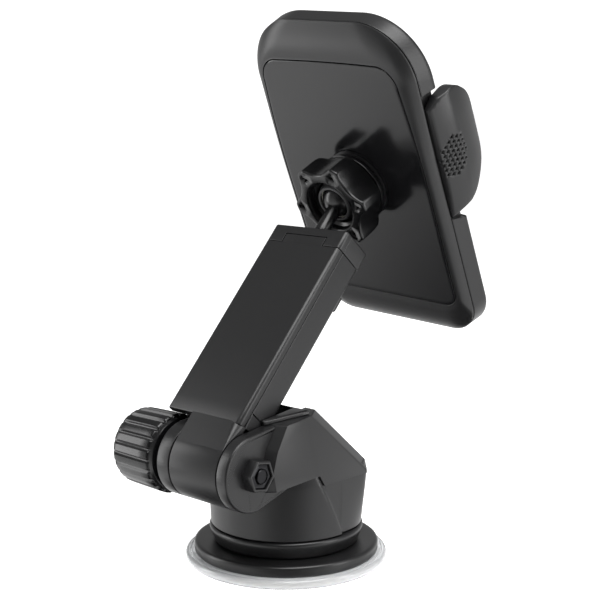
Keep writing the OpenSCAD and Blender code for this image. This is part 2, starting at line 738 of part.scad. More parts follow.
module front_frame() {
    inner_half = frame_half - wing_recess - 2.2;
    color([0.08, 0.08, 0.08]) in_cradle() difference() {
        slab_w(floor_w, -shell_depth - seam)
            cradle_outline(frame_half, shell_tall + 0.4, top_corner, low_corner);
        difference() {
            slab_w(floor_w + 1.5, 0)
                cradle_outline(inner_half, shell_tall - 2, top_corner - 3, low_corner - 2);
            for (x = [-1, 1]) for (z = [-1, 1]) translate([x * 26, 0, z * 44])
                along_w(floor_w, -shell_depth, 2.8, 32);
        }
        for (s = [-1, 1]) {
            translate([s * (frame_half - wing_recess / 2 + 5), 0, wing_z]) cube([wing_recess + 10,
                60, 2 * wing_r + 1], center = true);
            translate([s * 26, 0, 44]) along_w(floor_w - 1, floor_w + 1.4, 2.1, 32);
            translate([s * 26, 0, -44]) along_w(floor_w - 1, floor_w + 1.4, 2.1, 32);
            translate([s * 26, 0, 44]) along_w(-30, 0, 1.15, 32);
            translate([s * 26, 0, -44]) along_w(-30, 0, 1.15, 32);
        }
        wing_window(-50, 50);
        // Foot's channel, mouth and toe recess
        translate([-14.4, floor_w + 1.9, -80]) cube([28.8, 3.2, 30]);
        translate([-16, floor_w - 1, -80]) cube([32, 6, 80 - shell_tall + 2.6]);
        // Release button's window
        translate([20, floor_w + 3, -32]) cube([40, 4, 14]);
    }
}

module front_pad() {
    color([0.12, 0.12, 0.12]) in_cradle() difference() {
        slab_w(floor_w - pad_t, floor_w)
            cradle_outline(frame_half - 5, shell_tall - 6, top_corner - 6, low_corner - 4);
        for (i = [-5 : 5]) translate([-22, floor_w - pad_t - 1, i * 8 - 0.6]) cube([44, 1.6, 1.2]);
    }
}

// Half-round clamp wing on the +x side, in the cradle's frame
module wing(side) {
    x0 = frame_half - wing_recess + 0.3;
    mirror([side < 0 ? 1 : 0, 0, 0]) union() {
        intersection() {
            slab_x(x0, x0 + wing_t) union() {
                intersection() {
                    translate([2 - shell_depth, wing_z]) circle(wing_r);
                    translate([-60, -60]) square([60 - shell_depth - seam, 120]);
                }
            }
            translate([0, -60, wing_z - wing_r + 0.4]) cube([60, 120, 2 * wing_r - 0.8]);
        }
        translate([x0 - 1.6, floor_w - 12, wing_z - 14]) cube([1.7, 9, 28]);
    }
}

module wing_pad(side) {
    x0 = frame_half - wing_recess + 0.3 - 1.6;
    mirror([side < 0 ? 1 : 0, 0, 0]) union() {
        translate([x0 - 1.6, floor_w - 11.5, wing_z - 13.5]) cube([1.6, 8, 27]);
        for (i = [-5 : 5]) translate([x0 - 1.6, floor_w - 11.5, wing_z + 2.4 * i])
            rotate([-90, 0, 0]) cylinder(r = 0.6, h = 8, $fn = 24);
    }
}

// Rack above the pinion, with its teeth downwards and its end let into the wing
module rack(side) {
    pitch = PI * gear_module;
    x_end = frame_half - wing_recess + 0.3;
    rotate([0, side < 0 ? 180 : 0, 0]) difference() {
        union() {
            translate([x_end - rack_len, gear_w0, gear_r + 1.1 * gear_module])
                cube([rack_len, gear_t, 2]);
            slab_w(gear_w0, gear_w0 + gear_t) for (i = [-6 : 1]) translate([(i + 0.5) * pitch, gear_r])
                polygon([[-0.62, 1.3 * gear_module], [-0.2, -0.75], [0.2, -0.75], [0.62, 1.3 * gear_module]]);
        }
    }
}

module pinion() {
    color([0.75, 0.75, 0.7]) in_cradle() translate([0, 0, wing_z]) difference() {
        union() {
            along_w(gear_w0, gear_w0 + gear_t, gear_r - 1.15 * gear_module, 64);
            for (i = [0 : pinion_teeth - 1]) rotate([0, i * 360 / pinion_teeth, 0])
                slab_w(gear_w0, gear_w0 + gear_t) polygon([[-0.95, gear_r - 1.9],
                    [-0.3, gear_r + 0.75], [0.3, gear_r + 0.75], [0.95, gear_r - 1.9]]);
        }
        along_w(-60, 60, 2 + run_fit, 64);
    }
}

module pinion_post() {
    color("silver") in_cradle() translate([0, 0, wing_z]) union() {
        along_w(floor_w + 1.5, gear_w0 + gear_t + 0.2, 2, 64);
        along_w(gear_w0 + gear_t + 0.2 - eps, gear_w0 + gear_t + 0.8, 3.4, 32);
        along_w(floor_w + 1.5, gear_w0 - 0.2, 3, 32);
    }
}

module wing_left() {
    color([0.13, 0.13, 0.13]) in_cradle() wing(1);
}

module wing_left_pad() {
    color([0.05, 0.05, 0.05]) in_cradle() wing_pad(1);
}

module rack_left() {
    color([0.7, 0.7, 0.68]) in_cradle() translate([0, 0, wing_z]) rack(1);
}

module wing_right() {
    color([0.13, 0.13, 0.13]) in_cradle() wing(-1);
}

module wing_right_pad() {
    color([0.05, 0.05, 0.05]) in_cradle() wing_pad(-1);
}

module rack_right() {
    color([0.7, 0.7, 0.68]) in_cradle() translate([0, 0, wing_z]) rack(-1);
}

module clamp_springs() {
    color("silver") in_cradle() for (s = [-1, 1])
        translate([s > 0 ? 6 : -24, gear_w0 + 1.5, wing_z + s * (gear_r + 6.4)])
            rotate([0, 90, 0]) coil(18, 1.5, 0.6, 14);
}

module foot_slide() {
    low = -shell_tall - 0.2;
    color([0.08, 0.08, 0.08]) in_cradle() union() {
        translate([-14, floor_w + 2.1, low]) cube([28, 2.4, 28]);
        for (s = [-1, 1]) {
            translate([s * 10.5 - 4.5, floor_w - 14, low]) cube([9, 16.2, 2.4]);
            translate([s * 10.5 - 4.5, floor_w - 14, low]) cube([9, 2.4, 7]);
        }
        translate([-15, floor_w - 0.6, low]) cube([30, 3.6, 2.2]);
    }
}

module foot_pads() {
    low = -shell_tall - 0.2;
    color([0.05, 0.05, 0.05]) in_cradle() for (s = [-1, 1])
        translate([s * 10.5 - 4, floor_w - 11.5, low + 2.4]) cube([8, 9, 1]);
}

module release_button() {
    color([0.05, 0.05, 0.05]) in_cradle() union() {
        translate([frame_half - 6, floor_w + 3.3, -31.7]) cube([6 + 1.6, 3.4, 13.4]);
        translate([20, floor_w + 3.3, -28]) cube([12, 3.4, 6]);
    }
}

module release_spring() {
    color("silver") in_cradle() translate([13.6, floor_w + 5, -25]) rotate([0, 90, 0])
        coil(6.35, 1.4, 0.5, 6);
}

gel_pad();
cup_disc();
pressure_collar();
base_housing();
top_cover();
disc_screws();
lever_pin();
suction_lever();
pull_stem();
stem_spring();
hinge_nut();
hinge_bolt();
hinge_knob();
knob_washer();
friction_washers();
arm_sleeve();
arm_back_cover();
sleeve_screws();
lock_button();
lock_spring();
inner_slide();
arm_head();
head_screws();
ball_stud();
ball_liner();
collet();
socket_cup();
star_nut();
back_panel();
back_shell();
shell_screws();
front_frame();
front_pad();
wing_left();
wing_left_pad();
rack_left();
wing_right();
wing_right_pad();
rack_right();
pinion();
pinion_post();
clamp_springs();
foot_slide();
foot_pads();
release_button();
release_spring();
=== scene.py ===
import bpy
import json
import math
import numpy as np
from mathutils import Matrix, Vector
from mathutils.geometry import delaunay_2d_cdt


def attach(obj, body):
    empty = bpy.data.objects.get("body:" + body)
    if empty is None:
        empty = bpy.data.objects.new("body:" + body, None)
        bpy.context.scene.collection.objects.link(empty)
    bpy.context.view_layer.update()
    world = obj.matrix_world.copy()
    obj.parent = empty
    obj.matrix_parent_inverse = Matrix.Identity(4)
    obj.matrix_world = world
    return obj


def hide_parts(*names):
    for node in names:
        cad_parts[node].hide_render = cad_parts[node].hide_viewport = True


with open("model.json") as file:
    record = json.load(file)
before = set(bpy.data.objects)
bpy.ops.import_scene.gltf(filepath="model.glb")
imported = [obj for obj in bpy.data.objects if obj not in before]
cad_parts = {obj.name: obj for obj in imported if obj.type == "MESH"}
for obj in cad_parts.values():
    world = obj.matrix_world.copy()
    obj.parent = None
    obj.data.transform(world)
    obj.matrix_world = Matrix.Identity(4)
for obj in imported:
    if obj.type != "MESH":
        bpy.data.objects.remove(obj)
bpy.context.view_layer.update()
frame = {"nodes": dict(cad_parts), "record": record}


# ---- Suction base ----
# A clear gel disc 72 mm across and 3 mm thick grips the table. On it sits a black cup disc
# 66 mm across with a rounded rim, then a short bulging collar. All three are turned shapes.

def lathe(profile, steps=192, centre=(0, 0, 0), axis="z"):
    """Closed rings of a turned shape: each (radius, height) of the profile swept once round the axis."""
    a = np.linspace(0, 2 * np.pi, steps, endpoint=False)
    rings = []
    for r, h in profile:
        if axis == "z":
            ring = np.stack([r * np.cos(a), r * np.sin(a), np.full(steps, float(h))], 1)
        else:
            ring = np.stack([np.full(steps, float(h)), r * np.cos(a), r * np.sin(a)], 1)
        rings.append(ring + np.array(centre))
    return rings


def skin(rings, wrap=False):
    """Quads between neighbouring rings of equal length; open ends are closed by one flat face, and the skin
    is turned so that its enclosed volume is positive."""
    n = len(rings[0])
    verts = np.concatenate(rings)
    faces = []
    count = len(rings)
    i = np.arange(n)
    j = (i + 1) % n
    for k in range(count if wrap else count - 1):
        a = k * n
        b = ((k + 1) % count) * n
        faces += np.stack([a + i, a + j, b + j, b + i], 1).tolist()
    if not wrap:
        faces.append(list(range(n - 1, -1, -1)))
        faces.append(list(range((count - 1) * n, count * n)))
    volume = 0.0
    for f in faces:
        p = verts[f]
        volume += np.einsum("ij,ij->i", np.cross(p[1:-1], p[2:]), np.repeat(p[:1], len(f) - 2, 0)).sum()
    if volume < 0:
        faces = [f[::-1] for f in faces]
    return verts, faces


def piece(name, skins, finish, body, nodes=(), crease=32):
    """One mesh from closed skins in millimetres: stored in metres, smooth except over edges sharper than
    the crease angle."""
    verts = []
    faces = []
    for v, f in skins:
        base = sum(len(x) for x in verts)
        verts.append(v)
        faces += [[base + q for q in face] for face in f]
    mesh = bpy.data.meshes.new(name)
    mesh.from_pydata((np.concatenate(verts) / 1000).tolist(), [], faces)
    mesh.polygons.foreach_set("use_smooth", [True] * len(mesh.polygons))
    mesh.set_sharp_from_angle(angle=math.radians(crease))
    mesh.materials.append(finish)
    made = bpy.data.objects.new(name, mesh)
    bpy.context.scene.collection.objects.link(made)
    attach(made, body)
    if nodes:
        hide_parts(*nodes)
    return made


def plastic(name, colour, rough, grain, grain_size, coat=0.0):
    """Moulded plastic: an even colour, a slow change of roughness over the surface and a fine raised grain."""
    made = bpy.data.materials.new(name)
    made.use_nodes = True
    tree = made.node_tree
    shader = tree.nodes["Principled BSDF"]
    shader.inputs["Base Color"].default_value = (*colour, 1)
    shader.inputs["Specular IOR Level"].default_value = 0.5
    shader.inputs["Coat Weight"].default_value = coat
    shader.inputs["Coat Roughness"].default_value = 0.06
    place = tree.nodes.new("ShaderNodeTexCoord")
    slow = tree.nodes.new("ShaderNodeTexNoise")
    slow.inputs["Scale"].default_value = 35
    slow.inputs["Detail"].default_value = 4
    tree.links.new(place.outputs["Object"], slow.inputs["Vector"])
    span = tree.nodes.new("ShaderNodeMapRange")
    span.inputs["To Min"].default_value = rough - 0.03
    span.inputs["To Max"].default_value = rough + 0.04
    tree.links.new(slow.outputs["Fac"], span.inputs["Value"])
    tree.links.new(span.outputs["Result"], shader.inputs["Roughness"])
    fine = tree.nodes.new("ShaderNodeTexNoise")
    fine.inputs["Scale"].default_value = grain_size
    fine.inputs["Detail"].default_value = 3
    tree.links.new(place.outputs["Object"], fine.inputs["Vector"])
    bump = tree.nodes.new("ShaderNodeBump")
    bump.inputs["Strength"].default_value = grain
    bump.inputs["Distance"].default_value = 0.0001
    tree.links.new(fine.outputs["Fac"], bump.inputs["Height"])
    tree.links.new(bump.outputs["Normal"], shader.inputs["Normal"])
    return made


bpy.context.scene.view_settings.view_transform = "Standard"
gel = bpy.data.materials.new("clear_gel")
gel.use_nodes = True
shader = gel.node_tree.nodes["Principled BSDF"]
shader.inputs["Base Color"].default_value = (0.93, 0.94, 0.95, 1)
shader.inputs["Transmission Weight"].default_value = 0.62
shader.inputs["IOR"].default_value = 1.42
shader.inputs["Roughness"].default_value = 0.06
shader.inputs["Coat Weight"].default_value = 0.6
gel_rings = lathe([(20, 0.02), (34.6, 0.02), (35.3, 0.15), (35.75, 0.5), (36, 1.1), (36.1, 1.8), (36.1, 2.4),
                   (35.95, 2.9), (35.6, 3.22), (35.1, 3.34), (34.5, 3.3), (34.2, 3.05), (33.8, 3.0),
                   (33.4, 3.25), (32.5, 3.28), (20, 3.28)], 256)
piece("gel_disc", [skin(gel_rings)], gel, "base", ["gel_pad"])

satin = plastic("satin_black", (0.010, 0.010, 0.0105), 0.33, 0.08, 2600)
disc_rings = lathe([(15.6, 3.3), (32.4, 3.3), (32.8, 3.42), (32.98, 3.7), (33, 4.1), (33, 6.1), (32.93, 6.5),
                    (32.7, 6.85), (32.35, 7.08), (31.9, 7.18), (31.3, 7.2), (26.9, 7.2), (26.5, 7.14),
                    (24.4, 7.1), (24.2, 7.2), (23.9, 7.5), (23.9, 10.2), (23.7, 10.4), (4.2, 10.4), (4.2, 5.4),
                    (15.4, 5.4), (15.5, 5.3)], 256)
piece("suction_disc", [skin(disc_rings, wrap=True)], satin, "base", ["cup_disc"])

collar_rings = lathe([(24.3, 7.62), (25.2, 7.55), (25.7, 7.6), (25.95, 7.85), (26.15, 8.4), (26.6, 9.6),
                      (27.05, 10.8), (27.4, 11.8), (27.52, 12.4), (27.48, 12.85), (27.25, 13.2), (26.9, 13.42),
                      (26.4, 13.5), (24.3, 13.5)], 256)
piece("collar_ring", [skin(collar_rings, wrap=True)], satin, "base", ["pressure_collar"])

# The housing is one black moulding: a round foot that grows into a block with two flat cheeks,
# a bevelled slope towards the reader, and an ear on each side of the hinge's barrel.

def rounded(corners, radii, fine=7):
    """Outline of a polygon with filleted corners, and its outward normals: each corner is an arc tangent
    to both of its edges."""
    p = np.array(corners, float)
    if np.sum(p[:, 0] * np.roll(p[:, 1], -1) - np.roll(p[:, 0], -1) * p[:, 1]) < 0:
        p = p[::-1]
        radii = list(radii)[::-1] if np.ndim(radii) else radii
    radii = np.broadcast_to(radii, len(p))
    points = []
    normals = []
    for k in range(len(p)):
        before = p[k - 1] - p[k]
        after = p[(k + 1) % len(p)] - p[k]
        lb = np.linalg.norm(before)
        la = np.linalg.norm(after)
        u = before / lb
        v = after / la
        half = math.acos(np.clip(np.dot(u, v), -1, 1)) / 2
        reach = min(radii[k] / math.tan(half), 0.49 * lb, 0.49 * la)
        r = reach * math.tan(half)
        middle = p[k] + (u + v) / np.linalg.norm(u + v) * r / math.sin(half)
        turn = u[0] * v[1] - u[1] * v[0]
        start = p[k] + u * reach
        end = p[k] + v * reach
        a = math.atan2(start[1] - middle[1], start[0] - middle[0])
        b = math.atan2(end[1] - middle[1], end[0] - middle[0])
        b = a + (b - a + math.pi) % (2 * math.pi) - math.pi
        for t in np.linspace(a, b, fine):
            ray = np.array([math.cos(t), math.sin(t)])
            points.append(middle + r * ray)
            normals.append(ray if turn < 0 else -ray)
    return np.array(points), np.array(normals)


def slab(shape, low, high, place, low_edge=0.5, high_edge=0.5, weight=None, fine=5):
    """Rings of a plate between two heights whose edges are quarter rounds: the outline moves in along its
    normals by r(1 - cos) while the height moves by r(1 - sin), scaled by an optional weight at each point."""
    points, normals = shape
    weight = np.ones(len(points)) if weight is None else weight
    steps = []
    t = np.linspace(0, np.pi / 2, fine)
    if low_edge > 0:
        steps.append((low_edge * 1.6, low))
        steps += [(low_edge * (1 - math.sin(a)), low + low_edge * (1 - math.cos(a))) for a in t]
    else:
        steps.append((0, low))
    if high_edge > 0:
        steps += [(high_edge * (1 - math.cos(a)), high - high_edge * (1 - math.sin(a))) for a in t]
        steps.append((high_edge * 1.6, high))
    else:
        steps.append((0, high))
    return [place(points - normals * (inset * weight)[:, None], h) for inset, h in steps]


def across(q, h):
    """Puts an outline in (y, z) at x = h."""
    return np.stack([np.full(len(q), float(h)), q[:, 0], q[:, 1]], 1)


FOOT_FRONT = 27
CHEEK_HALF = 26.2
REAR_Y = 17.4
hinge = np.array([0, 38.3, 42.6])
turn = np.linspace(0, 2 * np.pi, 288, endpoint=False)
c = np.cos(turn)
s = np.sin(turn)


def foot_ring(z, shrink=0.0):
    """Section of the round foot: a circle that is cut flat at both sides behind a slanting line and that
    grows square towards the back as it rises."""
    t = min(max((z - 14) / 19, 0), 1)
    front = FOOT_FRONT + 0.8 * t
    flat = CHEEK_HALF / np.maximum(abs(c), 1e-6)
    back = REAR_Y / np.maximum(abs(s), 1e-6)
    cut = 146.5 / np.maximum(3.4 * abs(c) + 4.1 * abs(s), 1e-6)
    soft = 26
    side = (front ** -soft + flat ** -soft) ** (-1 / soft)
    square = (flat ** -60.0 + back ** -60.0 + cut ** -60.0) ** (-1 / 60)
    rear = side + (square - side) * t
    edge = np.interp(z, [14.5, 27, 33, 37], [-1.7, 4.8, 8.1, 10.6])
    r = np.where(s < 0, rear, side) - shrink * np.clip((edge - front * s) / 0.5, 0, 1)
    near = np.clip((edge + 2.2 - front * s) / 2.2, 0, 1)
    near = near * near * (3 - 2 * near)
    r = front + (r - front) * near
    return np.stack([r * c, r * s, np.full(len(c), float(z))], 1)


foot_rings = [foot_ring(13.8) * [0.985, 0.985, 1], foot_ring(13.85) * [0.993, 0.993, 1], foot_ring(14.15)]
foot_rings += [foot_ring(z) for z in np.linspace(14.6, 33, 24)]
foot_rings += [foot_ring(z, 0.6) for z in np.linspace(33.02, 37.1, 6)]
foot_rings += [np.stack([24.2 * c * k, 24.2 * s * k * (0.68 if z > 30 else 1), np.full(len(c), float(z))], 1)
               for k, z in ((0.97, 37.1), (0.97, 31), (1, 28), (1, 13.8))]
housing = [skin(foot_rings, wrap=True)]

slope_low = (-17.4, 36.7)
ridge = (8.8, 59.3)


for side in (-1, 1):
    if side < 0:
        full = [(33.4, 35.2), (34.9, 42.6), (33.2, 49.6), (28.2, 57.3)]
        face = [(31.8, 35.8), (33.1, 42.6), (31.2, 49.2), (26.4, 57.5)]
        radii = [0.02, 0.1, 0.1, 0.6, 4, 4, 1.2, 0.6, 0.9, 1.0]
    else:
        full = [(21.8, 36.9), (23.0, 43), (24.2, 50), (25.4, 57.5)]
        face = [(21.4, 36.9), (22.6, 43), (23.8, 50), (24.9, 57.6)]
        radii = [0.02, 0.1, 0.1, 0.8, 6, 6, 1.2, 0.6, 0.9, 1.0]
    full = rounded([(-17.4, 33.02), (8.1, 33.02), (10.6, 36.9)] + full + [(18.6, 58.45), ridge, slope_low], radii)
    face = rounded([(-14.0, 33.02), (8.1, 33.02), (10.6, 36.9)] + face
                   + [(18.2, 58.5), (14.9, 58.8), (-14.0, 34.1)], radii)
    shift = face[0] - full[0]
    flush = np.maximum(np.clip((full[0][:, 0] - 14) / 3, 0, 1), np.clip(full[0][:, 1] - 45, 0, 1))[:, None]
    rings = []
    for k, inset, x in ((0, 0, 17.9), (0, 0, 21.75), (0.015, 0, 22.05), (0.07, 0, 22.45), (0.2, 0, 22.98),
                        (0.8, 0, 25.44), (0.93, 0.04, 25.9), (0.985, 0.16, 26.08), (1.03, 0.34, 26.17),
                        (1.09, 0.6, CHEEK_HALF)):
        q = full[0] + shift * k - face[1] * inset * flush * (abs(shift).sum(1) < 0.6)[:, None]
        rings.append(across(q, side * x))
    housing.append(skin(rings))

# Between the cheeks the block has a trough in which the arm folds, a round seat for the barrel,
# and on the slope a pocket 27 mm wide for the lever, with a well for its cam.
SEAT_R = 13.6
arc = [(hinge[1] + SEAT_R * math.cos(a), hinge[2] + SEAT_R * math.sin(a))
       for a in np.radians(np.linspace(161, 205, 9))]
front = [(26.4, 33.02), (26.2, 36.6)] + arc[::-1]
strip = [(-17.4, 33.02)] + front + [(24.5, 47.9), (9.4, 54.3), (8.4, 58.2), slope_low]
for side in (-1, 1):
    outline = rounded(strip, 0.15)
    housing.append(skin(slab(outline, min(side * 13.5, side * 17.9), max(side * 13.5, side * 17.9), across, 0, 0)))
WELL_R = 15.04
PIN_Z = 32
well = [(WELL_R * math.cos(a), PIN_Z + WELL_R * math.sin(a)) for a in np.radians(np.linspace(4, 112, 19))]
middle = [(15.2, 33.02)] + front + [(24.5, 47.9), (9.4, 54.3), (8.4, 58.2), (-4.4, 47.3)] + well[::-1]
housing.append(skin(slab(rounded(middle, 0.05, 3), -13.5, 13.5, across, 0, 0)))
sill = [(-17.4, 33.02), (-12.2, 33.02), (-12.2, 37.6), (-14.3, 35.7), (-17.4, 33.3)]
housing.append(skin(slab(rounded(sill, 0.05, 3), -13.5, 13.5, across, 0, 0)))

# The ears are 13 mm in radius. The one on the nut's side is set in 4 mm from the cheek and carries
# a round boss with a hexagonal seat; the other one is a plain ear inboard of the knob.
EAR_R = 13
ear = [(hinge[1] + EAR_R * math.cos(a), hinge[2] + EAR_R * math.sin(a))
       for a in np.radians(np.linspace(-100, 84, 40))]
web = rounded(ear + [(14.2, 58.85), (12.5, 45), (14.5, 36.6)], 0.3, 4)
housing.append(skin(slab(web, -22.4, -17.95, across, 0.7, 0.25)))
web = rounded(ear + [(24.0, 57.2), (22.0, 45), (21.5, 36.0)], 0.3, 4)
housing.append(skin(slab(web, 5.4, 11.3, across, 0.25, 0.6)))
hexagon = [(4.75 * math.cos(a), 4.75 * math.sin(a)) for a in np.radians(range(10, 370, 60))]
seat = rounded(hexagon, 0.15, 32)[0] + hinge[1:]
around = np.arctan2(seat[:, 1] - hinge[2], seat[:, 0] - hinge[1])
ray = np.stack([np.cos(around), np.sin(around)], 1)
boss = [across(hinge[1:] + ray * r, x) for r, x in ((5.9, -21.9), (5.9, -25.6), (5.75, -26.0), (5.5, -26.2),
                                                    (5.25, -26.25))]
boss += [across(hinge[1:] + (seat - hinge[1:]) * k, x) for k, x in ((1.02, -26.2), (1.0, -26.0), (1.0, -23.1),
                                                                     (0.6, -23.1), (0.6, -21.9))]
housing.append(skin(boss, wrap=True))
piece("housing_shell", housing, satin, "base", ["base_housing"], 28)

# The cover closes the top of the block on both sides of the trough, with a fine seam under it.
cover = []
for side in (-1, 1):
    rings = []
    for y in (14.3, 14.45, 14.8, 18, 22, 26, 29.6, 30.0, 30.2):
        end = 0.35 if y in (14.3, 30.2) else (0.12 if y in (14.45, 30.0) else 0)
        base = 58.9 - (y - 14.2) * 0.117 + 0.15
        out = 25.3 - (y - 14.2) * (0.36 if side < 0 else 0.12)
        top = base + 1.35
        q = np.array([(17.95 + end, base - 1.2), (out - end, base + 0.02), (out - 0.6 - end, top - 0.3),
                      (out - 1.6 - end, top - end), (17.95 + end, top - end)])
        points = rounded(q, 0.35, 5)[0]
        rings.append(np.stack([side * points[:, 0], np.full(len(points), y), points[:, 1]], 1))
    if side > 0:
        rings = rings[:6]
    cover.append(skin(rings))
piece("cover_strips", cover, satin, "base", ["top_cover"], 28)

# The suction lever is a plate in the slope with a finger edge at its lower end; its cam and
# cheeks turn on a steel pin and pull the stem up.
slope = math.atan2(ridge[1] - slope_low[1], ridge[0] - slope_low[0])
down = np.array([-math.cos(slope), -math.sin(slope)])
out = np.array([-math.sin(slope), math.cos(slope)])
origin = np.array(ridge)
plate = [origin + down * t + out * h for t, h in ((22.6, -3.2), (22.6, -0.3), (33, -0.3), (38.2, 0.2), (39.6, -0.8),
                                                  (39.4, -2.6), (36, -3.2))]
lever = [skin(slab(rounded(plate, [0.4, 0.6, 6, 1.2, 0.8, 1, 2]), -12.9, 12.9, across, 0.7, 0.7))]
for side in (-1, 1):
    cheek = rounded([(-4.4, 30.5), (0, 27.6), (4.4, 31), (4.2, 35), (-4.6, 43.2), (-11.6, 37.0), (-8.6, 31.8)],
                    [2, 3, 3, 3, 0.5, 0.5, 1])
    lever.append(skin(slab(cheek, side * 5.6 - 1.9, side * 5.6 + 1.9, across, 0.3, 0.3)))
CAM_R = 4.2
drum = [(1.256 + CAM_R * math.cos(a), 32.8 + CAM_R * math.sin(a))
        for a in np.linspace(0, 2 * np.pi, 48, endpoint=False)]
lever.append(skin(slab(rounded(drum, 0.05, 2), -3.8, 3.8, across, 0.2, 0.2)))
RIB_PITCH = 1.1
for k in range(7):
    rib = [origin + down * t + out * h for t, h in ((31.6 + k * RIB_PITCH, -0.6),
                                                    (32.1 + k * RIB_PITCH, 0.12 + k * 0.04),
                                                    (32.6 + k * RIB_PITCH, -0.6))]
    lever.append(skin(slab(rounded(rib, 0.12, 4), -9, 9, across, 0.2, 0.2)))
piece("lever_plate", lever, satin, "lever", ["suction_lever"], 30)

# ---- Hinge ----
# A fluted knob 28 mm across turns a steel bolt through both ears and the arm's barrel; the bolt's
# hexagonal nut shows in the boss on the other side. The knob has 22 round grooves and a turned end.
gloss = plastic("gloss_black", (0.004, 0.004, 0.0044), 0.24, 0.03, 2200)
FLUTES = 22
FLUTE_DEPTH = 1.15
a = np.linspace(0, 2 * np.pi, FLUTES * 18, endpoint=False)
wave = np.clip(np.cos(FLUTES * a) * 1.25 - 0.45, 0, None) ** 0.9
knob = []
for x, r, depth in ((13.6, 9.0, 0), (13.6, 12.2, 0), (13.75, 12.6, 0), (14.2, 12.85, 0), (14.9, 12.9, 0),
                    (15.1, 12.95, 0),
                    (15.25, 13.3, 0.4), (15.6, 13.75, 0.85), (16.2, 13.9, 1.0), (20, 13.85, 1.0), (25, 13.75, 1.0),
                    (30, 13.6, 1.0), (32.2, 13.5, 1.0), (33.0, 13.35, 0.85), (33.8, 12.95, 0.5), (34.4, 12.45, 0.2),
                    (34.8, 11.9, 0), (35.0, 11.2, 0), (35.0, 10.4, 0), (34.8, 10.1, 0), (34.2, 9.9, 0),
                    (34.0, 9.6, 0), (34.0, 4.0, 0)):
    radius = r - FLUTE_DEPTH * depth * wave
    knob.append(np.stack([np.full(len(a), x), hinge[1] + radius * np.cos(a), hinge[2] + radius * np.sin(a)], 1))
piece("knob_grip", [skin(knob)], gloss, "knob", ["hinge_knob"], 40)

steel = bpy.data.materials.new("zinc_steel")
steel.use_nodes = True
shader = steel.node_tree.nodes["Principled BSDF"]
shader.inputs["Base Color"].default_value = (0.55, 0.56, 0.58, 1)
shader.inputs["Metallic"].default_value = 1.0
shader.inputs["Roughness"].default_value = 0.32
dark_steel = bpy.data.materials.new("black_steel")
dark_steel.use_nodes = True
shader = dark_steel.node_tree.nodes["Principled BSDF"]
shader.inputs["Base Color"].default_value = (0.03, 0.03, 0.032, 1)
shader.inputs["Metallic"].default_value = 1.0
shader.inputs["Roughness"].default_value = 0.3
nut = rounded([(4.55 * math.cos(t), 4.55 * math.sin(t)) for t in np.radians(range(10, 370, 60))], 0.12, 16)
around = np.arctan2(nut[0][:, 1], nut[0][:, 0])
ray = np.stack([np.cos(around), np.sin(around)], 1)
nut_rings = [across(hinge[1:] + q, x) for q, x in ((ray * 2.6, -23.2), (nut[0] * 0.98, -23.2), (nut[0], -23.4),
                                                   (nut[0], -25.3), (nut[0] * 0.97, -25.6), (ray * 3.7, -25.75),
                                                   (ray * 3.1, -25.75), (ray * 2.6, -25.5))]
piece("nut_hex", [skin(nut_rings, wrap=True)], dark_steel, "base", ["hinge_nut"], 30)
bolt_rings = lathe([(2.3, -26.3), (2.5, -26.1), (2.5, 21.6)], 64, hinge, "x")
head_rings = lathe([(4.2, 21.6), (4.2, 24.6)], 6, hinge, "x")
bolt_rings = [skin([bolt_rings[0] * [0, 1, 1] + [-26.0, 0, 0]] + bolt_rings), skin(head_rings)]
piece("bolt_shank", bolt_rings, dark_steel, "knob", ["hinge_bolt"], 30)

# ---- Arm ----
# The arm is 35 mm wide and 13.6 mm thick. Its rear half is one moulding with the hinge barrel and
# has 4 mm round corners; the front half is a U-shaped sleeve, and a fine groove parts the two.
ARM_HALF = 17.5
ARM_FRONT_EDGE = 9.6
ARM_BACK_EDGE = 9.85
ARM_BACK = 13
SLEEVE_TOP = 82.95
lean = math.radians(42.4)
along = np.array([0, -math.sin(lean), math.cos(lean)])
upper = np.array([0, math.cos(lean), math.sin(lean)])
sideways = np.array([1.0, 0, 0])


def arm_level(q, h):
    """Puts an outline in (x, m) at the distance h along the arm."""
    return hinge + q[:, :1] * sideways + q[:, 1:] * upper + h * along


def arm_side(q, h):
    """Puts an outline in (m, s) of the arm at x = h."""
    return hinge + h * sideways + q[:, :1] * upper + q[:, 1:] * along


back = [skin([across(hinge[1:] + r * np.stack([np.cos(turn), np.sin(turn)], 1), x)
              for r, x in ((12.0, -17.5), (12.75, -17.5), (12.93, -17.42), (13, -17.25), (13, 4.7), (12.9, 4.85),
                           (12.7, 4.9), (12.0, 4.9))])]
section = rounded([(-ARM_HALF, ARM_BACK_EDGE), (ARM_HALF, ARM_BACK_EDGE), (ARM_HALF, ARM_BACK),
                   (-ARM_HALF, ARM_BACK)], [0.2, 0.2, 3.0, 3.0], 12)
hollow = rounded([(-ARM_HALF, ARM_BACK_EDGE), (-15.3, ARM_BACK_EDGE), (-15.3, 10.8), (15.3, 10.8),
                  (15.3, ARM_BACK_EDGE), (ARM_HALF, ARM_BACK_EDGE), (ARM_HALF, ARM_BACK), (-ARM_HALF, ARM_BACK)],
                  [0.2, 0.1, 0.1, 0.1, 0.1, 0.2, 3.0, 3.0], 12)
back.append(skin(slab(section, 10.9, 17, arm_level, 0.35, 0)))
back.append(skin(slab(hollow, 17, SLEEVE_TOP, arm_level, 0, 0.12)))
stub = []
for k in np.linspace(0, 1, 12):
    q = rounded([(-17.5, 4), (4.9, 4), (4.9, 13), (-17.5, 13)], [0.1, 0.1, 0.1, 0.1 + 2.9 * k], 12)[0]
    stub.append(arm_level(q, 0.2 + 11.2 * k))
back.append(skin(stub))
tab = rounded([(-9.5, 11.2), (9.5, 11.2), (9.5, 13), (-9.5, 13)], [0.1, 0.1, 0.1, 0.1], 4)
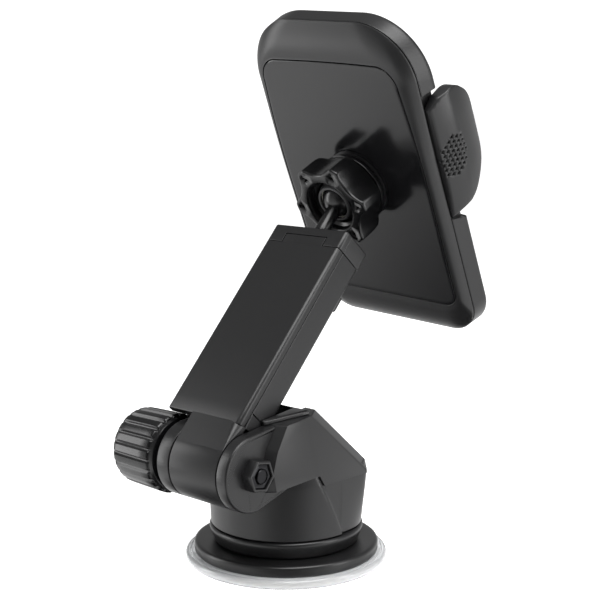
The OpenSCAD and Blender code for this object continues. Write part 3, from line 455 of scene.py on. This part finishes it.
back.append(skin(slab(tab, 82.9, 86.6, arm_level, 0, 0.15)))
piece("arm_back", back, satin, "arm", ["arm_back_cover"], 30)

arc = [(14.5 * math.cos(t), 14.5 * math.sin(t)) for t in np.radians(np.linspace(92.5, 50.5, 12))]
lower = rounded([(-0.6, 17)] + arc + [(9.6, 17)], 0.15, 4)
front_shell = [skin(slab(lower, 4.95, 17.5, arm_side, 0, 0.3))]
arc = [(13.2 * math.cos(t), 13.2 * math.sin(t)) for t in np.radians(np.linspace(92.5, 45.5, 12))]
lower = rounded([(-0.6, 17)] + arc + [(9.6, 17)], 0.15, 4)
front_shell.append(skin(slab(lower, -17.5, 4.95, arm_side, 0.3, 0)))
shell = rounded([(-ARM_HALF, -0.6), (ARM_HALF, -0.6), (ARM_HALF, ARM_FRONT_EDGE), (11.55, ARM_FRONT_EDGE),
                 (11.55, 1.6), (-11.55, 1.6), (-11.55, ARM_FRONT_EDGE), (-ARM_HALF, ARM_FRONT_EDGE)],
                 [1.4, 1.4, 0.2, 0.1, 0.1, 0.1, 0.1, 0.2], 10)
front_shell.append(skin(slab(shell, 17, SLEEVE_TOP, arm_level, 0, 0.12)))
piece("arm_front", front_shell, satin, "arm", ["arm_sleeve"], 30)

def arm_face(q, h):
    """Puts an outline in (x, s) of the arm at the height h over the hinge's plane."""
    return hinge + q[:, :1] * sideways + h * upper + q[:, 1:] * along


cap = rounded([(-14.5, 66.8), (14.5, 66.8), (14.5, 73.2), (-14.5, 73.2)], 1.0)
stem = rounded([(-4, 66.1), (4, 66.1), (4, 73.9), (-4, 73.9)], 0.3)
flange = rounded([(-5.6, 64.4), (5.6, 64.4), (5.6, 75.6), (-5.6, 75.6)], 0.5)
lock = [skin(slab(cap, -4.0, -2.3, arm_face, 0.6, 0.2)), skin(slab(stem, -2.6, 1.8, arm_face, 0, 0)),
        skin(slab(flange, 1.65, 2.45, arm_face, 0.1, 0.1))]
for k in range(5):
    ridge_line = rounded([(-11.5, 67.75 + k * 1.0), (11.5, 67.75 + k * 1.0), (11.5, 68.2 + k * 1.0),
                          (-11.5, 68.2 + k * 1.0)], 0.2, 3)
    lock.append(skin(slab(ridge_line, -4.2, -3.9, arm_face, 0.1, 0)))
piece("lock_cap", lock, satin, "lock", ["lock_button"], 30)

# The head closes the telescopic slide's upper end. It takes the tab of the rear cover, and a groove
# carries the parting line round it; a short stud with a 13 mm ball grows out of its top.
notch = [(-ARM_HALF, -1), (ARM_HALF, -1), (ARM_HALF, ARM_FRONT_EDGE), (17.3, 9.72), (ARM_HALF, ARM_BACK_EDGE),
         (ARM_HALF, ARM_BACK), (9.85, ARM_BACK), (9.85, 10.9), (-9.85, 10.9), (-9.85, ARM_BACK),
         (-ARM_HALF, ARM_BACK), (-ARM_HALF, ARM_BACK_EDGE), (-17.3, 9.72), (-ARM_HALF, ARM_FRONT_EDGE)]
fillets = [1.0, 1.0, 0.02, 0.02, 0.02, 3.0, 0.1, 0.1, 0.1, 0.1, 3.0, 0.02, 0.02, 0.02]
head = [skin(slab(rounded(notch, fillets, 10), 83.2, 86.85, arm_level, 0.12, 0))]
full = notch[:6] + notch[10:]
fillets = [1.0, 1.0, 0.02, 0.02, 0.02, 3.0, 3.0, 0.02, 0.02, 0.02]
head.append(skin(slab(rounded(full, fillets, 10), 86.85, 90.4, arm_level, 0, 0.7)))
piece("head_cap", head, satin, "slide", ["arm_head"], 30)

BALL_R = 6.6
BALL_REACH = 107.9
STUD_M = 7.6
NECK_R = 2.6
stud = [(2.0, 84.2), (3.3, 84.4), (3.3, 90.4), (3.25, 90.7), (3.0, 91.6), (2.75, 93), (NECK_R, 95), (NECK_R, 101.2)]
polar = np.linspace(math.asin(NECK_R / BALL_R), math.pi - 0.02, 40)
stud += [(BALL_R * math.sin(t), BALL_REACH - BALL_R * math.cos(t)) for t in polar]
turned = []
for r, h in stud:
    q = np.stack([r * np.cos(turn[::3]), r * np.sin(turn[::3]) + STUD_M], 1)
    turned.append(arm_level(q, h))
piece("ball_pin", [skin(turned)], gloss, "slide", ["ball_stud"], 35)

# ---- Ball socket and star nut ----
# The nut is a round flange 27 mm across with a six-pointed grip 33 mm across in front of it. The sides
# between its points are hollow, and its face has a wide mouth and six small triangular pockets.
BALL_DEPTH = 9.7
tilt = math.radians(27.2)
roll = math.radians(3.7)


def cradle_turn(v):
    """Turns a vector of the cradle's own frame (x, depth, up) into the row's frame: roll, then tilt."""
    x, y, z = v
    x, z = x * math.cos(roll) - z * math.sin(roll), x * math.sin(roll) + z * math.cos(roll)
    return np.array([x, y * math.cos(tilt) + z * math.sin(tilt), -y * math.sin(tilt) + z * math.cos(tilt)])


wide = cradle_turn((1, 0, 0))
deep = cradle_turn((0, 1, 0))
tall = cradle_turn((0, 0, 1))
ball = hinge + BALL_REACH * along + STUD_M * upper
panel_centre = ball - BALL_DEPTH * deep


def cradle_level(q, h):
    """Puts an outline in (x, v) of the cradle at the depth h behind its back panel."""
    return panel_centre + q[:, :1] * wide + q[:, 1:] * tall + np.reshape(h, (-1, 1)) * deep


a = np.linspace(0, 2 * np.pi, 360, endpoint=False)
folded = (a + math.radians(8) + math.radians(30)) % math.radians(60) - math.radians(30)
hollow_side = math.radians(30) - abs(folded)
SCOOP_AT = 23.6
SCOOP_R = 10.4
POINT_R = 16.75
NUT_FACE = 16.4
off = SCOOP_AT * np.sin(hollow_side)
reach = SCOOP_AT * np.cos(hollow_side) - np.sqrt(np.maximum(SCOOP_R ** 2 - off ** 2, 0))
reach = np.where(off < SCOOP_R, reach, 99)
star = (reach ** -26.0 + POINT_R ** -26.0) ** (-1 / 26)
ray = np.stack([np.cos(a), np.sin(a)], 1)
nut = []
for r, w in ((12.55, 1.6), (13.5, 1.6), (13.7, 1.75), (13.75, 2.1), (13.75, 2.9), (13.65, 3.15), (13.35, 3.3)):
    nut.append(cradle_level(ray * r, w))
for k, w in ((0.0, 3.32), (0.3, 3.8), (0.65, 4.8), (0.88, 6.2), (0.97, 8), (1.0, 10), (1.0, 15.4)):
    nut.append(cradle_level(ray * (13.0 + (star - 13.0) * k)[:, None], w))
for inset, w in ((0.08, 15.85), (0.25, 16.18), (0.5, 16.36), (0.8, NUT_FACE)):
    nut.append(cradle_level(ray * (star - inset)[:, None], w))
outer_loop = ray * (star - 0.8)[:, None]
nut_side = skin(nut)
nut_side = (nut_side[0], nut_side[1][:-2])
mouth = []
for r, w in ((10.5, NUT_FACE), (10.3, 16.34), (10.05, 16.1), (9.75, 15.75), (9.6, 15.3), (9.6, 13.9), (9.55, 13.6),
             (8.6, 12.9), (8.45, 12.7), (8.45, 9.8), (8.6, 9.6), (12.4, 9.6), (12.55, 9.45), (12.55, 1.6)):
    mouth.append(cradle_level(ray * r, w))
mouth_side = skin(mouth)
mouth_side = (mouth_side[0], [f[::-1] for f in mouth_side[1][:-2]])
pockets = []
for k in range(6):
    t = math.radians(-8 + 60 * k)
    middle = np.array([math.cos(t), math.sin(t)]) * 13.3
    out2 = np.array([math.cos(t), math.sin(t)])
    over = np.array([-math.sin(t), math.cos(t)])
    corners = [middle + out2 * 1.35, middle - out2 * 0.75 + over * 1.35, middle - out2 * 0.75 - over * 1.35]
    pockets.append(rounded(corners, 0.2, 3)[0])


def holed_face(loops, place, outward, extra=()):
    """Face between an outer loop and the loops inside it, put in place by a function: a constrained triangulation
    whose triangles are kept where their middle is inside the first loop and outside every other."""
    pts = np.concatenate(loops + ([np.array(extra)] if len(extra) else []))
    edges = []
    base = 0
    for loop in loops:
        n = len(loop)
        edges += [(base + i, base + (i + 1) % n) for i in range(n)]
        base += n
    out3 = delaunay_2d_cdt([Vector(p) for p in pts.tolist()], edges, [], 0, 1e-7)
    flat2 = np.array([tuple(v) for v in out3[0]])
    keep = []
    for f in out3[2]:
        m = flat2[list(f)].mean(0)
        inside = []
        for loop in loops:
            x1, y1 = loop[:, 0], loop[:, 1]
            x2, y2 = np.roll(x1, -1), np.roll(y1, -1)
            cross = ((y1 > m[1]) != (y2 > m[1])) & (m[0] < (x2 - x1) * (m[1] - y1) / (y2 - y1 + 1e-12) + x1)
            inside.append(bool(cross.sum() % 2))
        if inside[0] and not any(inside[1:]):
            keep.append(list(f))
    verts = place(flat2)
    fixed = []
    for f in keep:
        p = verts[f]
        n = np.cross(p[1] - p[0], p[2] - p[0])
        fixed.append(f if np.dot(n, outward) > 0 else f[::-1])
    return verts, fixed


face = holed_face([outer_loop, ray * 10.5] + pockets, lambda q: cradle_level(q, NUT_FACE), deep)
nut_parts = [nut_side, face, mouth_side]
for loop in pockets:
    v, f = skin([cradle_level(loop, 14.6), cradle_level(loop, NUT_FACE)])
    nut_parts.append((v, [q[::-1] for q in f[:-1]]))
WELD_GAP = 0.00001
star_nut = piece("star_grip", nut_parts, gloss, "star", ["star_nut"], 34)
star_nut.modifiers.new("weld", "WELD").merge_threshold = WELD_GAP

# ---- Cradle ----
# The cradle is 75 mm wide and 127 mm tall, with wide round corners at the top. Behind the parting
# line a domed shell slopes up to a glossy panel 65 by 97 mm; in front is the frame that holds the clamps.

def cradle_ring(half, height, top, low, w, taper=0.0, arch=0.0, recess=0.0, edges=(-12.7, 35.9), grow=0.0):
    """Ring of a rectangle with its own top and bottom corner radii: the side can narrow towards the top by a
    taper, the top edge can arch, and the sides can step in between two heights."""
    half = half + grow
    height = height + grow
    top = max(top + grow, 0.05)
    low = max(low + grow, 0.05)
    up = np.unique(np.concatenate([np.linspace(low - height, height - top, 44)[1:-1],
                                   [e + d for e in edges for d in (-0.35, -0.12, 0.12, 0.35)]]))
    lo_v = low - height
    hi_v = height - top
    up = np.interp(up, [up.min(), edges[0], edges[1], up.max()], [lo_v, edges[0], edges[1], hi_v])
    up = np.clip(up, lo_v + 1e-3, hi_v - 1e-3)
    q = np.linspace(0, np.pi / 2, 24)
    flat = np.linspace(-1, 1, 25)[1:-1]
    pts = [np.stack([np.full(len(up), half), up], 1),
           np.stack([half - top + top * np.cos(q), hi_v + top * np.sin(q)], 1),
           np.stack([-flat * (half - top), np.full(len(flat), height)], 1),
           np.stack([top - half - top * np.sin(q), hi_v + top * np.cos(q)], 1),
           np.stack([np.full(len(up), -half), up[::-1]], 1),
           np.stack([low - half - low * np.cos(q), lo_v - low * np.sin(q)], 1),
           np.stack([flat * (half - low), np.full(len(flat), -height)], 1),
           np.stack([half - low + low * np.sin(q), lo_v - low * np.cos(q)], 1)]
    p = np.concatenate(pts)
    x, v = p[:, 0].copy(), p[:, 1].copy()
    x *= 1 - taper * np.clip(v / 40, 0, 1) ** 2
    v += arch * np.where(v > 0, 1, 0) * np.clip(v / height, 0, 1) ** 4 * (1 - (x / half) ** 2)
    if recess:
        inside = np.clip((v - edges[0]) / 0.24 + 0.5, 0, 1) * np.clip((edges[1] - v) / 0.24 + 0.5, 0, 1)
        x -= np.sign(x) * np.where(abs(x) > half - 6, inside * recess, 0)
    return cradle_level(np.stack([x, v], 1), w)


PANEL = (33.45, 49.1, 8.8, 6.2)
PANEL_TAPER = 0.066
PANEL_ARCH = 0.9
shell = [cradle_ring(34.0, 61.0, 19.7, 10.2, -3.2), cradle_ring(34.0, 61.0, 19.7, 10.2, -4.85),
         cradle_ring(35.75, 62.75, 21.5, 12, -4.85), cradle_ring(35.95, 62.95, 21.7, 12.2, -4.75),
         cradle_ring(36.0, 63.0, 21.7, 12.2, -4.55)]
for t in np.linspace(0, 1, 22):
    blend = t ** 1.12
    rise = 1 - (1 - t) ** 1.9
    shell.append(cradle_ring(36.0 - 2.55 * blend, 63.0 - 13.9 * blend, 21.7 - 12.9 * blend, 12.2 - 6 * blend,
                             -4.35 + 4.15 * rise, PANEL_TAPER * blend, PANEL_ARCH * blend))
for grow, w in ((-0.2, -0.12), (-0.32, -0.2), (-0.38, -0.4), (-0.38, -1.6)):
    shell.append(cradle_ring(*PANEL, w, PANEL_TAPER, PANEL_ARCH, grow=grow))
piece("shell_dome", [skin(shell)], satin, "cradle", ["back_shell"], 30)

panel_gloss = plastic("panel_gloss", (0.005, 0.005, 0.0055), 0.15, 0.02, 1500)
panel = []
for grow, w in ((-0.9, -1.5), (-0.62, -1.5), (-0.6, -0.6), (-0.62, -0.3), (-0.72, -0.12), (-0.9, -0.03),
                (-1.15, 0.0), (-2.0, 0.01)):
    panel.append(cradle_ring(*PANEL, w, PANEL_TAPER, PANEL_ARCH, grow=grow))
piece("panel_plate", [skin(panel)], panel_gloss, "cradle", ["back_panel"], 30)

# The frame's side walls step in 2.4 mm where the wings close, and its front edge is rounded.
FRONT = (37.4, 63.4, 23.7, 13)
WING_RECESS = 2.4
frame_rings = []
for grow, w in ((-2.2, -5.1), (-0.3, -5.1), (-0.08, -5.18), (0, -5.4)):
    frame_rings.append(cradle_ring(36.05, 63.05, 21.7, 12.2, w, recess=WING_RECESS, edges=(-13.0, 35.9),
                                   grow=grow))
for t in np.linspace(0.05, 1, 8):
    w = -5.1 - 5.9 * t
    frame_rings.append(cradle_ring(36.05 + 1.35 * t, 63.05 + 0.35 * t, 21.7 + 2 * t, 12.2 + 0.8 * t, w,
                                   recess=WING_RECESS, edges=(-13.0 + (w + 5) * 0.36, 35.9)))
for grow, w in ((-0.1, -11.6), (-0.35, -12.1), (-0.75, -12.5), (-1.3, -12.74), (-1.9, -12.8), (-3, -12.8)):
    frame_rings.append(cradle_ring(*FRONT, w, recess=WING_RECESS, edges=(-15.6, 35.9), grow=grow))
piece("frame_shell", [skin(frame_rings)], satin, "cradle", ["front_frame"], 30)

rubber = plastic("soft_rubber", (0.012, 0.012, 0.012), 0.62, 0.35, 1800)
pad = []
for grow, w in ((-5.1, -12.8), (-5.0, -13.0), (-5.0, -13.7), (-5.3, -14.05), (-5.8, -14.2), (-6.4, -14.2)):
    pad.append(cradle_ring(*FRONT, w, grow=grow))
pad_parts = [skin(pad)]
for k in range(-6, 7):
    bar = rounded([(-21, k * 7 - 1.1), (21, k * 7 - 1.1), (21, k * 7 + 1.1), (-21, k * 7 + 1.1)], 1.05, 8)
    pad_parts.append(skin(slab(bar, -14.75, -14.0, cradle_level, 0.4, 0)))
piece("pad_sheet", pad_parts, rubber, "cradle", ["front_pad"], 30)

# ---- Clamp wings ----
# Each wing is a half-round cheek 47 mm tall with a domed outer face, a straight hinge-side edge, and
# a patch of small round holes in a hexagonal pattern near its middle.
outline = rounded([(-5.3, 30.4), (-10, 33.4), (-18.5, 34.6), (-28.0, 26.5), (-28.2, 3.0), (-17.0, -8.6),
                   (-5.3, -12.8)], [0.5, 4, 9, 11, 12, 16, 0.5], 14)


def wing_face(q):
    """Distance of the wing's outer face from the cradle's middle at (w, v): it rises over 9 mm from the straight
    edge, and curls in by powers of the way to its front, lower and upper edges."""
    rear = np.clip((q[:, 0] + 14) / 8.7, 0, 1)
    ahead = np.clip((-q[:, 0] - 13.5) / 14.7, 0, 1)
    low = np.clip((6 - q[:, 1]) / 18.8, 0, 1)
    high = np.clip((q[:, 1] - 22) / 12.6, 0, 1)
    return 41.1 - 3.3 * rear ** 1.3 - 3.4 * ahead ** 2.2 - 1.8 * low ** 2 - 1.0 * high ** 2


def dense(loop, step):
    """The same loop with extra points on its long sides, no further apart than the step."""
    points = []
    for here, there in zip(loop, np.roll(loop, -1, 0)):
        count = max(int(math.ceil(np.linalg.norm(there - here) / step)), 1)
        points += [here + (there - here) * k / count for k in range(count)]
    return np.array(points)


rim = dense(outline[0], 1.6)
holes = []
HOLE_R = 0.56
PATCH = np.array([-10.4, 10.8])
patch_turn = math.radians(18)
lean_in = np.array([[math.cos(patch_turn), math.sin(patch_turn)], [-math.sin(patch_turn), math.cos(patch_turn)]])
tenth = np.linspace(0, 2 * np.pi, 10, endpoint=False)
circle = np.stack([np.cos(tenth), np.sin(tenth)], 1)
for row in range(-5, 6):
    for column in range(-4, 5):
        spot = np.array([(column + 0.5 * (row % 2)) * 1.95, row * 1.69])
        if (spot[0] / 5.0) ** 2 + (spot[1] / 8.6) ** 2 < 1:
            holes.append(PATCH + spot @ lean_in + circle * HOLE_R)
inner = [np.array([w, v]) for w in np.arange(-27.5, -5.6, 1.1) for v in np.arange(-12.5, 34.5, 1.1)]
inner = [q for q in inner if min(np.linalg.norm(rim - q, axis=1)) > 0.8
         and all(np.linalg.norm(q - hole.mean(0)) > 0.85 for hole in holes)]

for side, name in ((1, "left"), (-1, "right")):
    def wing_level(q, x):
        """Puts an outline in (w, v) at the distance x from the cradle's middle plane."""
        x = np.reshape(side * x, (-1, 1)) * np.ones((len(q), 1))
        return panel_centre + x * wide + q[:, :1] * deep + q[:, 1:] * tall

    edge_x = wing_face(rim)
    centre = np.array([-14.5, 11])
    near = centre + (rim - centre) * 0.985
    walls = [wing_level(centre + (rim - centre) * 0.975, 35.05), wing_level(rim, 35.35), wing_level(rim, 36.2),
             wing_level(rim, edge_x - 0.35), wing_level(centre + (rim - centre) * 0.994, edge_x - 0.1),
             wing_level(near, wing_face(near))]
    shell_side = skin(walls)
    plate = holed_face([near] + holes, lambda q: wing_level(q, wing_face(q)), side * wide, inner)
    parts = [(shell_side[0], shell_side[1][:-1]), plate]
    for hole in holes:
        v, f = skin([wing_level(hole, wing_face(hole) - 0.9), wing_level(hole, wing_face(hole))])
        parts.append((v, [q[::-1] for q in f[:-1]]))
    jaw = rounded([(-15.8, -1.5), (-15.8, 25.5), (-24.4, 24.5), (-24.4, -0.5)], 1.5)
    jaw_rings = slab(jaw, 33.5, 35.3, wing_level, 0.4, 0)
    cheek = piece("wing_" + name + "_cheek", parts + [skin(jaw_rings)], satin, name + "_wing",
                  ["wing_" + name], 32)
    cheek.modifiers.new("weld", "WELD").merge_threshold = WELD_GAP

    strip_shape = rounded([(-16.1, -1.1), (-16.1, 25.1), (-24.1, 24.1), (-24.1, -0.1)], 1.2)
    lining = [skin(slab(strip_shape, 31.9, 33.5, wing_level, 0.3, 0))]
    for k in range(-5, 6):
        low = k * 2.4 + 11.2
        rib = rounded([(31.2, low), (32.2, low), (32.2, low + 1.4), (31.2, low + 1.4)], 0.5, 5)
        rings = [panel_centre + side * rib[0][:, :1] * wide + w * deep + rib[0][:, 1:] * tall
                 for w in (-23.6, -16.6)]
        lining.append(skin(rings))
    piece("wing_" + name + "_lining", lining, rubber, name + "_wing", ["wing_" + name + "_pad"], 30)

# ---- Inner works ----
# What hides inside keeps the frame's own shapes: racks, pinion, springs, screws and liners, in pale
# nylon, grey nylon or zinc-plated steel; only the colours and finishes are given here.
nylon = plastic("pale_nylon", (0.62, 0.60, 0.54), 0.42, 0.06, 1500)
grey = plastic("grey_nylon", (0.035, 0.035, 0.036), 0.42, 0.08, 1500)
finishes = {"zinc_steel": steel, "pale_nylon": nylon, "inner_grey": grey, "black_satin": satin,
            "black_gloss": gloss, "soft_pad": rubber, "clear_gel": gel}
slots = {entry["node"]: entry["material_slot"] for entry in frame["record"]["subparts"]}
for node, made in frame["nodes"].items():
    made.data.materials.clear()
    made.data.materials.append(finishes[slots[node]])

# ---- Floor, light and camera ----
# The mount stands on a wide white floor that runs out into a white background. The room is bright round the
# horizon and darker above and below, which draws soft bands on the black plastic; the floor is kept out of the
# reflections, and the camera looks from behind and a little above.
FLOOR_R = 6
FLOOR_SIDES = 96
floor_mesh = bpy.data.meshes.new("floor")
rim = [(FLOOR_R * math.cos(t), FLOOR_R * math.sin(t), 0)
       for t in np.linspace(0, 2 * math.pi, FLOOR_SIDES, endpoint=False)]
floor_mesh.from_pydata(rim, [], [list(range(FLOOR_SIDES))])
floor = bpy.data.objects.new("floor", floor_mesh)
white = bpy.data.materials.new("white_floor")
white.use_nodes = True
shader = white.node_tree.nodes["Principled BSDF"]
shader.inputs["Base Color"].default_value = (0.93, 0.93, 0.93, 1)
shader.inputs["Roughness"].default_value = 0.8
shader.inputs["Emission Color"].default_value = (1, 1, 1, 1)
shader.inputs["Emission Strength"].default_value = 0.78
floor_mesh.materials.append(white)
floor.visible_glossy = False
bpy.context.scene.collection.objects.link(floor)


def softbox(name, place, target, size, power):
    """Rectangular light at a place, turned so that it faces its target."""
    data = bpy.data.lights.new(name, "AREA")
    data.shape = "RECTANGLE"
    data.size, data.size_y = size
    data.energy = power
    lamp = bpy.data.objects.new(name, data)
    lamp.location = place
    lamp.rotation_euler = (Vector(target) - Vector(place)).to_track_quat("-Z", "Y").to_euler()
    bpy.context.scene.collection.objects.link(lamp)


softbox("top_box", (-0.35, 0.1, 0.9), (0, 0, 0.08), (0.8, 0.6), 9)
softbox("left_box", (0.75, 0.55, 0.25), (0, 0, 0.1), (0.3, 0.9), 3.5)
softbox("right_box", (-0.85, -0.35, 0.3), (0, 0, 0.1), (0.3, 0.9), 3.5)

world = bpy.data.worlds.new("studio")
world.use_nodes = True
tree = world.node_tree
place = tree.nodes.new("ShaderNodeTexCoord")
split = tree.nodes.new("ShaderNodeSeparateXYZ")
tree.links.new(place.outputs["Generated"], split.inputs["Vector"])
ramp = tree.nodes.new("ShaderNodeValToRGB")
span = tree.nodes.new("ShaderNodeMapRange")
span.inputs["From Min"].default_value = -1.0
span.inputs["From Max"].default_value = 1.0
tree.links.new(split.outputs["Z"], span.inputs["Value"])
tree.links.new(span.outputs["Result"], ramp.inputs["Fac"])
ramp.color_ramp.interpolation = "EASE"
stops = [(-1.0, 0.02), (-0.78, 0.03), (-0.57, 1.25), (-0.2, 0.75), (0.0, 0.55), (0.25, 0.34), (0.6, 0.16),
         (1.0, 0.35)]
for k, (z, level) in enumerate(stops):
    stop = ramp.color_ramp.elements[k] if k < 2 else ramp.color_ramp.elements.new(0.5 + 0.5 * z)
    stop.position = 0.5 + 0.5 * z
    stop.color = (level, level, level, 1)
sight = tree.nodes.new("ShaderNodeLightPath")
mix = tree.nodes.new("ShaderNodeMix")
mix.data_type = "RGBA"
tree.links.new(sight.outputs["Is Camera Ray"], mix.inputs["Factor"])
facing = tree.nodes.new("ShaderNodeVectorMath")
facing.operation = "DOT_PRODUCT"
facing.inputs[1].default_value = (-0.686, 0.728, 0)
tree.links.new(place.outputs["Generated"], facing.inputs[0])
dim = tree.nodes.new("ShaderNodeMapRange")
dim.interpolation_type = "SMOOTHSTEP"
dim.inputs["From Min"].default_value = 0.62
dim.inputs["From Max"].default_value = 0.97
dim.inputs["To Min"].default_value = 1.0
dim.inputs["To Max"].default_value = 0.12
tree.links.new(facing.outputs["Value"], dim.inputs["Value"])
shade = tree.nodes.new("ShaderNodeVectorMath")
shade.operation = "SCALE"
tree.links.new(ramp.outputs["Color"], shade.inputs[0])
tree.links.new(dim.outputs["Result"], shade.inputs["Scale"])
tree.links.new(shade.outputs["Vector"], mix.inputs["A"])
mix.inputs["B"].default_value = (1, 1, 1, 1)
tree.links.new(mix.outputs["Result"], tree.nodes["Background"].inputs["Color"])
tree.nodes["Background"].inputs["Strength"].default_value = 1.3
bpy.context.scene.world = world

camera_data = bpy.data.cameras.new("camera")
camera_data.lens = 83.99
camera_data.sensor_width = 36
camera_data.clip_start = 0.01
camera = bpy.data.objects.new("camera", camera_data)
camera.location = (-0.3362, 0.3499, 0.1721)
camera.rotation_euler = (math.radians(90 - 9.214), 0, math.radians(223.267))
bpy.context.scene.collection.objects.link(camera)
bpy.context.scene.camera = camera
